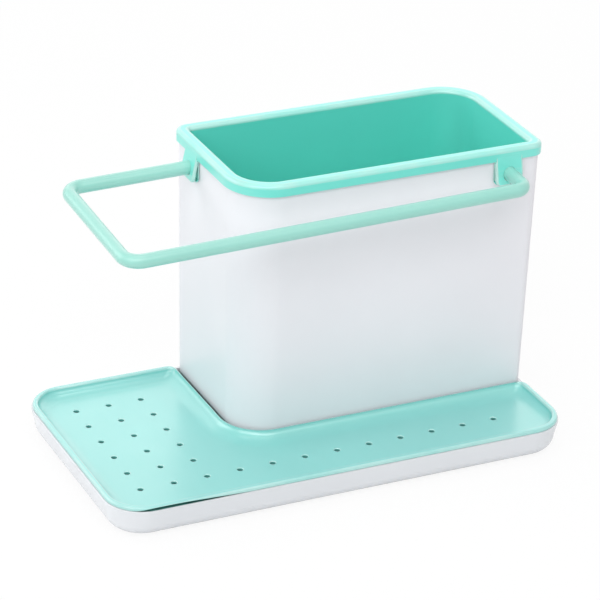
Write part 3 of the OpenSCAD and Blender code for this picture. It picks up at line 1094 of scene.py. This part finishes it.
@dataclass
class BinForm:
    """Sizes that the bin and the liner share, in mm."""

    low: Flat = (-31.9, -13.4)
    high: Flat = (103.4, 55.2)
    big_r: float = 17.3
    small_r: float = 3.2
    rim_z: float = 14.3
    top_z: float = 129.0
    spread: float = 1.9
    belts: Flat = (50.0, 90.0)

    def lean(self, height: float) -> float:
        """Outward lean of the sides at a height."""
        return self.spread * (height - self.rim_z) / (self.top_z - self.rim_z)

    def outline(self, inset: float, small_r: float | None = None) -> Outline:
        """Outline of the bin moved inwards.

        Args:
            inset: Inward move in mm.
            small_r: Radius of the two tight corners, or None for the bin's own.

        Returns:
            The outline.
        """
        tight = self.small_r if small_r is None else small_r
        low = (self.low[0] + inset, self.low[1] + inset)
        high = (self.high[0] - inset, self.high[1] - inset)
        return box_outline(low, high, [self.big_r - inset, tight, self.big_r - inset, tight])

    def walls(self, outline: Outline, heights: Iterable[float], offset: float = 0.0) -> list[Ring]:
        """Rings of a leaning wall at several heights, moved outwards by an offset."""
        return outline.sweep((self.lean(z) + offset, z) for z in heights)

    def floor(self, inset: float) -> tuple[Flat, Flat]:
        """Size and middle of a floor inside the bin.

        Args:
            inset: Distance from the bin's outline.

        Returns:
            Width and depth, and the middle as (x, y).
        """
        (x0, y0), (x1, y1) = [v + inset for v in self.low], [v - inset for v in self.high]
        return (x1 - x0, y1 - y0), ((x0 + x1) / 2, (y0 + y1) / 2)


@dataclass
class OuterBin:
    """White bin with leaning walls over a stepped foot with drain holes, in mm."""

    kit: Kit
    form: BinForm
    wall: float = 1.8
    chamfer: float = 2.5
    hold: float = 0.5
    lip_r: float = 0.45
    foot_inset: float = 7.0
    foot_z: float = 2.5
    foot_r: float = 0.6
    step_z: float = 11.8
    sump_r: float = 1.4
    sump_edge: float = 0.4
    holes: int = 4
    hole: Hole = Hole(3.0)

    def rings(self) -> list[Ring]:
        """Rings of the skin, from the foot up the outside and down the inside.

        Returns:
            Rings of equal length. Extra ones at the hold distance keep the bends tight.
        """
        form, cut, hold, lip = self.form, self.chamfer, self.hold, self.lip_r
        outer, inner, foot = form.outline(0), form.outline(self.wall), form.outline(self.foot_inset)
        sump = form.outline(self.foot_inset + self.wall, self.sump_r)
        top, lean = form.top_z, form.lean(form.top_z)
        floor_z = self.step_z + self.wall
        return [
            *foot.sweep(arc((-self.foot_r, self.foot_z + self.foot_r), self.foot_r, -90, 0, 5)),
            foot.ring(0, self.step_z),
            *outer.sweep([(-cut - hold, self.step_z), (-cut, self.step_z), (-cut + hold, self.step_z + hold)]),
            *outer.sweep([(-hold, form.rim_z - hold), (0, form.rim_z)]),
            *form.walls(outer, (form.rim_z + hold, *form.belts, top - lip)),
            *outer.sweep(arc((lean - lip, top - lip), lip, 0, 90, 4)[1:]),
            *inner.sweep(arc((lean + lip, top - lip), lip, 90, 180, 4)),
            *form.walls(inner, (*reversed(form.belts), floor_z + cut)),
            inner.ring(-cut, floor_z),
            *sump.sweep([(self.sump_edge, floor_z), (0, floor_z - self.sump_edge)]),
            sump.ring(0, self.foot_z + self.wall),
        ]

    def build(self) -> None:
        """Makes the bin with the row of holes in its foot."""
        piece = solid("bin_shell", self.rings())
        (width, _), middle = self.form.floor(self.foot_inset)
        centre = Vector((*middle, self.foot_z + self.wall / 2))
        pitch = (width / self.holes, 0.0)
        self.kit.pierce(piece, "bin_white", self.hole, (self.holes, 1), pitch, centre, self.wall)
        smooth(piece)
        self.kit.dress(piece, "bin_white", Body.BIN, "outer_bin")


class Facing(Enum):
    """Side of the bin that a tab hangs on, as (outward direction, direction along the side)."""

    FRONT = ((0.0, -1.0), (1.0, 0.0))
    LEFT = ((-1.0, 0.0), (0.0, -1.0))


@dataclass
class Liner:
    """Mint inner bin with a rolled rim over the bin's top and two tabs for the rail, in mm."""

    kit: Kit
    form: BinForm
    inset: float = 2.4
    wall: float = 2.0
    under_z: float = 18.5
    edge_r: float = 2.5
    floor_r: float = 1.2
    low_belt: float = 35.0
    top_z: float = 130.5
    web_bevel: float = 0.3
    band_z: float = 125.0
    clear: float = 0.3
    band: float = 0.8
    band_bevel: float = 0.2
    # Rounded lower edge of the band, as (offset, height) from its corner
    band_edge: tuple[Flat, ...] = ((-0.3, 0.0), (-0.08, 0.1), (0.0, 0.3))
    rim_r: float = 1.8
    rim_flat: float = 0.8
    inner_r: float = 1.8
    # The well's tight corners are drawn for the foot and open up with the lean
    well_r: float = -0.5
    drain: Hole = Hole(2.0)
    drain_pitch: float = 18.0
    socket_hole: Hole = Hole(3.1, 0.3, 0.0)
    socket_deep: float = 4.4
    socket_z: float = 119.5
    socket_left_y: float = 37.3
    socket_right_x: float = 88.6
    tab_w: float = 13.0
    tab_proud: float = 3.0
    tab_below: float = 5.5
    tab_r: float = 3.5
    tab_edge_r: float = 0.9
    tab_edge_share: float = 0.8
    tab_plate: float = 1.2
    tab_step: float = 1.8
    tab_step_below: float = 0.3
    tab_foot_share: float = 0.9
    tab_rise: float = 0.7
    tab_levels_up: int = 16
    blend_z: float = 116.5
    blend_sunk: float = 0.05
    back_plate: float = 0.3
    back_rim: float = 0.25
    back_top: float = 1.0

    def rings(self) -> list[Ring]:
        """Rings of the skin, from the underside over the rim and down into the well.

        Returns:
            Rings of equal length.
        """
        form, edge_r, rim_r = self.form, self.edge_r, self.rim_r
        body, rim = form.outline(self.inset), form.outline(0)
        well = form.outline(self.inset + self.wall, self.well_r)
        web_z, proud = form.top_z, self.clear + self.band
        foot, crown = form.lean(self.band_z), form.lean(self.top_z)
        mouth = crown + self.inner_r
        low_z, floor_z = self.under_z + edge_r, self.under_z + self.wall
        return [
            *body.sweep(arc((form.lean(low_z) - edge_r, low_z), edge_r, -90, 0)),
            *form.walls(body, (*form.belts, web_z - self.web_bevel)),
            body.ring(form.lean(web_z) + self.web_bevel, web_z),
            *form.walls(rim, (web_z, self.band_z + self.band_bevel), self.clear),
            rim.ring(foot + self.clear + self.band_bevel, self.band_z),
            *rim.sweep((foot + proud + x, self.band_z + z) for x, z in self.band_edge),
            *rim.sweep(arc((crown + proud - rim_r, self.top_z - rim_r), rim_r, 0, 90, 12)),
            well.ring(mouth + self.rim_flat, self.top_z),
            *well.sweep(arc((mouth, self.top_z - self.inner_r), self.inner_r, 90, 180, 10)),
            *form.walls(well, (*reversed(form.belts), self.low_belt)),
            *well.sweep(arc((form.lean(floor_z) - self.floor_r, floor_z + self.floor_r), self.floor_r, 0, -90, 6)),
        ]

    @staticmethod
    def rounded(low: float, radius: float, step: int = 9) -> list[float]:
        """Heights along the round lower end of a tab, at every few degrees of its quarter turn."""
        return [low + radius * (1 - math.cos(math.radians(a))) for a in range(0, 91, step)]

    def back_levels(self) -> list[Level]:
        """Sections of the thin layer behind a tab, whose rim shows in the shadow beside the plate.

        Returns:
            Height and section of each ring, upwards.
        """
        reach = self.tab_r + self.back_rim
        low = self.socket_z - self.tab_below - self.back_rim
        levels = []
        for z in [*self.rounded(low, reach), self.band_z + self.back_top]:
            half = self.tab_w / 2 - self.tab_r + bulge(reach, reach - (z - low))
            near = self.form.lean(z) + self.clear
            far = near + self.back_plate
            levels.append((z, [(-half, near), (half, near), (half, far), (-half, far)]))
        return levels

    def tab_levels(self) -> list[Level]:
        """Sections of a tab that hangs from the rim and swells out of it.

        Returns:
            Height and section of each ring, upwards.
        """
        low = self.socket_z - self.tab_below
        side = self.form.lean(self.socket_z) + self.tab_proud
        rises = [low + self.tab_r + self.tab_rise * i for i in range(1, self.tab_levels_up + 1)]
        levels = []
        for z in [*self.rounded(low, self.tab_r), *rises]:
            up = z - low
            half = self.tab_w / 2 - self.tab_r + bulge(self.tab_r, self.tab_r - up)
            face = side - self.tab_edge_r + bulge(self.tab_edge_r, self.tab_edge_r - up)
            back = self.form.lean(z) + self.clear
            into = back + self.band - self.blend_sunk
            face += (into - face) * ease(ramp(z, self.blend_z, self.top_z - self.rim_r))
            step = self.tab_step if z < self.band_z - self.tab_step_below else 0.0
            front_r = min(self.tab_edge_r, (face - back) * self.tab_edge_share)
            plate = max(back, face - self.tab_plate)
            behind = min(plate, back if up > self.tab_step else face - self.tab_foot_share * self.tab_plate)
            section = [(-half + step, behind), (half - step, behind), (half - step, plate), (half, plate)]
            section += arc((half - front_r, face - front_r), front_r, 0, 90, 6)
            section += arc((-half + front_r, face - front_r), front_r, 90, 180, 6)
            levels.append((z, [*section, (-half, plate), (-half + step, plate)]))
        return levels

    def layer(self, facing: Facing, middle: float, levels: list[Level]) -> bpy.types.Object:
        """Makes a closed layer on the bin's side from sections of (along, outward) points.

        Args:
            facing: Side of the bin.
            middle: Place of the layer's middle along that side, as x or y.
            levels: Height and section of each ring, upwards.

        Returns:
            The layer's object.
        """
        low = self.form.low
        start = Vector((middle, low[1], 0) if facing is Facing.FRONT else (low[0], middle, 0))
        out, along = (Vector((*way, 0)) for way in facing.value)
        rings = [[start + along * x + out * y + Vector((0, 0, z)) for x, y in section] for z, section in levels]
        made = solid("tab", [ring[::-1] for ring in rings])
        fix_normals(made)
        return made

    def socket(self, piece: bpy.types.Object, facing: Facing, middle: float) -> None:
        """Cuts the socket that the rod's end sits in.

        Args:
            piece: The liner with its tabs.
            facing: Side of the bin that the tab hangs on.
            middle: Place of the tab's middle along that side, as x or y.
        """
        face = self.form.lean(self.socket_z) + self.tab_proud - self.socket_deep / 2
        front = facing is Facing.FRONT
        edge = self.form.low[1 if front else 0] - face
        centre = Vector((middle, edge, self.socket_z) if front else (edge, middle, self.socket_z))
        turn = Vector((*facing.value[0], 0)).to_track_quat("Z", "Y").to_euler()
        hole = self.socket_hole
        self.kit.pierce(piece, "liner_mint", hole, (1, 1), (0.0, 0.0), centre, self.socket_deep, turn)

    def build(self) -> None:
        """Makes the liner with its tabs, sockets and drain holes."""
        piece = solid("liner_shell", self.rings())
        for facing, middle in ((Facing.FRONT, self.socket_right_x), (Facing.LEFT, self.socket_left_y)):
            for levels in (self.back_levels(), self.tab_levels()):
                join_solids(piece, self.layer(facing, middle, levels))
            self.socket(piece, facing, middle)
        size, middle = self.form.floor(self.inset + self.wall)
        counts = [math.floor((s - 2 * self.form.big_r) / self.drain_pitch) + 1 for s in size]
        centre = Vector((*middle, self.under_z + self.wall / 2))
        self.kit.pierce(piece, "liner_mint", self.drain, counts, [self.drain_pitch] * 2, centre, self.wall)
        smooth(piece)
        self.kit.dress(piece, "liner_mint", Body.LINER, "liner")


@dataclass
class TowelRail:
    """Mint rod with two long bars and three bends, hung from the two sockets, in mm."""

    kit: Kit
    rod_r: float = 3.0
    left_x: float = -91.64
    front_y: float = -32.74
    left_bend: float = 7.0
    right_bend: float = 5.0
    sag: float = 2.8
    socket_z: float = 119.5
    left_socket: Flat = (-36.64, 37.3)
    right_socket: Flat = (88.6, -18.14)
    seat: float = 2.4

    def corners(self) -> Ring:
        """Ends and corners of the rod's middle line, tilted about the line through both sockets.

        Returns:
            The points from the left socket to the right one.
        """
        (left_x, left_y), (right_x, right_y) = self.left_socket, self.right_socket
        flat = [
            (left_x + self.seat, left_y),
            (self.left_x, left_y),
            (self.left_x, self.front_y),
            (right_x, self.front_y),
            (right_x, right_y + self.seat),
        ]
        pivot = Vector((left_x, left_y, self.socket_z))
        axis = Vector((right_x, right_y, 0)) - Vector((left_x, left_y, 0))
        tilt = Matrix.Rotation(math.radians(self.sag), 3, axis)
        return [pivot + tilt @ (Vector((x, y, self.socket_z)) - pivot) for x, y in flat]

    def build(self) -> None:
        """Makes the rod."""
        points = self.corners()
        last = len(points) - 1
        mesh = bpy.data.meshes.new("rail_rod")
        mesh.from_pydata([p * MM for p in points], [(i, i + 1) for i in range(last)], [])
        piece = add_object("rail_rod", mesh)
        sizes = {"Rod Radius": self.rod_r, "Bend Radius": self.left_bend, "Last Bend Radius": self.right_bend}
        values = {name: size * MM for name, size in sizes.items()}
        material = self.kit.materials["rail_mint"]
        run_tree(piece, self.kit.sweep, {**values, "Last Bend": last - 1, "Material": material})
        smooth(piece)
        self.kit.dress(piece, "rail_mint", Body.LINER, "towel_rail")


@dataclass(frozen=True)
class Softbox:
    """Soft rectangular lamp, with its place and size in metres and its power in watts."""

    name: str
    place: tuple[float, float, float]
    size: Flat
    power: float


@dataclass
class Studio:
    """Pale floor, soft lamps and a white surround, in metres."""

    floor_size: float = 8.0
    floor_colour: str = "#f4f4f4"
    floor_lift: float = 0.9
    surround: float = 0.46
    aim: tuple[float, float, float] = (0.0, 0.0, 0.06)
    lamps: tuple[Softbox, ...] = (
        Softbox("softbox_back", (0.9, 1.9, 1.05), (3.4, 1.7), 11.5),
        Softbox("softbox_front", (-0.1, -1.5, 1.9), (2.0, 1.1), 17.0),
        Softbox("softbox_left", (-1.7, 1.2, 1.0), (1.8, 1.3), 14.5),
        Softbox("softbox_high_left", (-1.3, -1.0, 1.3), (1.6, 1.4), 13.5),
        Softbox("softbox_top", (0.15, 0.2, 2.0), (1.1, 0.9), 6.0),
    )

    def build_floor(self) -> None:
        """Makes the floor, which the camera sees nearly white, with the object's shadow on it."""
        half = self.floor_size / 2
        mesh = bpy.data.meshes.new("floor")
        mesh.from_pydata([(-half, -half, 0), (half, -half, 0), (half, half, 0), (-half, half, 0)], [], [(0, 1, 2, 3)])
        floor = add_object("floor", mesh)
        paint = bpy.data.materials.new("studio_floor")
        tree = clear_tree(paint)
        rays = add_node(tree, "ShaderNodeLightPath").outputs
        matt = add_node(tree, "ShaderNodeBsdfDiffuse", {"Color": linear(self.floor_colour)})
        white = add_node(tree, "ShaderNodeEmission", {"Color": (1, 1, 1, 1), "Strength": 1.0})
        share = calc(tree, "MULTIPLY", rays["Is Camera Ray"], self.floor_lift)
        both = add_node(tree, "ShaderNodeMixShader", {0: share, 1: matt.outputs[0], 2: white.outputs[0]})
        add_node(tree, "ShaderNodeOutputMaterial", {"Surface": both.outputs[0]})
        mesh.materials.append(paint)

    def build_world(self) -> None:
        """Makes the surround: white to the camera, in reflections and through glass, and softer as light."""
        world = bpy.data.worlds.new("surround")
        bpy.context.scene.world = world
        tree = clear_tree(world)
        rays = add_node(tree, "ShaderNodeLightPath").outputs
        mirrored = calc(tree, "MAXIMUM", rays["Is Glossy Ray"], rays["Is Transmission Ray"])
        seen = calc(tree, "MAXIMUM", rays["Is Camera Ray"], mirrored)
        level = remap(tree, seen, (0.0, 1.0), (self.surround, 1.0))
        light = add_node(tree, "ShaderNodeBackground", {"Color": (1, 1, 1, 1), "Strength": level})
        add_node(tree, "ShaderNodeOutputWorld", {"Surface": light.outputs[0]})

    def build_lamp(self, box: Softbox) -> None:
        """Makes a lamp that faces the object.

        Args:
            box: The lamp's place, size and power.
        """
        data = bpy.data.lights.new(box.name, "AREA")
        data.shape = "RECTANGLE"
        data.size, data.size_y = box.size
        data.energy = box.power
        lamp = add_object(box.name, data)
        lamp.location = box.place
        lamp.rotation_euler = (Vector(self.aim) - Vector(box.place)).to_track_quat("-Z", "Y").to_euler()

    def build(self) -> None:
        """Makes the floor, the surround and the lamps."""
        self.build_floor()
        self.build_world()
        for box in self.lamps:
            self.build_lamp(box)


@dataclass
class Viewpoint:
    """Camera at the photograph's viewing angle, in mm and degrees, with its clipping in metres."""

    place: tuple[float, float, float] = (-511.73, -1059.20, 648.14)
    azimuth: float = -25.8066
    elevation: float = 26.2621
    roll: float = 1.96
    lens: float = 185.48
    sensor: float = 36.0
    clip: Flat = (0.05, 30.0)

    def build(self) -> None:
        """Makes the camera and gives it to the scene."""
        az, el, roll = (math.radians(a) for a in (self.azimuth, self.elevation, self.roll))
        back = Vector((math.sin(az) * math.cos(el), -math.cos(az) * math.cos(el), math.sin(el)))
        right = (-back).cross(Vector((0, 0, 1))).normalized()
        up = right.cross(-back)
        across = math.cos(roll) * right + math.sin(roll) * up
        above = -math.sin(roll) * right + math.cos(roll) * up
        matrix = Matrix((across, above, back)).transposed().to_4x4()
        matrix.translation = Vector(self.place) * MM
        data = bpy.data.cameras.new("viewpoint")
        data.sensor_width = self.sensor
        data.lens = self.lens
        data.clip_start, data.clip_end = self.clip
        camera = add_object("viewpoint", data)
        camera.matrix_world = matrix
        bpy.context.scene.camera = camera


def main() -> None:
    """Builds the camera, the studio and every sub-assembly."""
    logging.basicConfig(level=logging.INFO, format="%(name)s: %(message)s")
    bpy.context.scene.view_settings.view_transform = "Standard"
    Viewpoint().build()
    Studio().build()
    looks = Finishes()
    materials = {slot.name: getattr(looks, slot.name).build() for slot in fields(looks)}
    kit = Kit(materials, perforation_tree(), rod_tree())
    form = BinForm()
    for part in (BaseAssembly(kit), DrainTray(kit), OuterBin(kit, form), Liner(kit, form), TowelRail(kit)):
        part.build()
        LOG.info("%s is built", type(part).__name__)


if __name__ == "__main__":
    main()
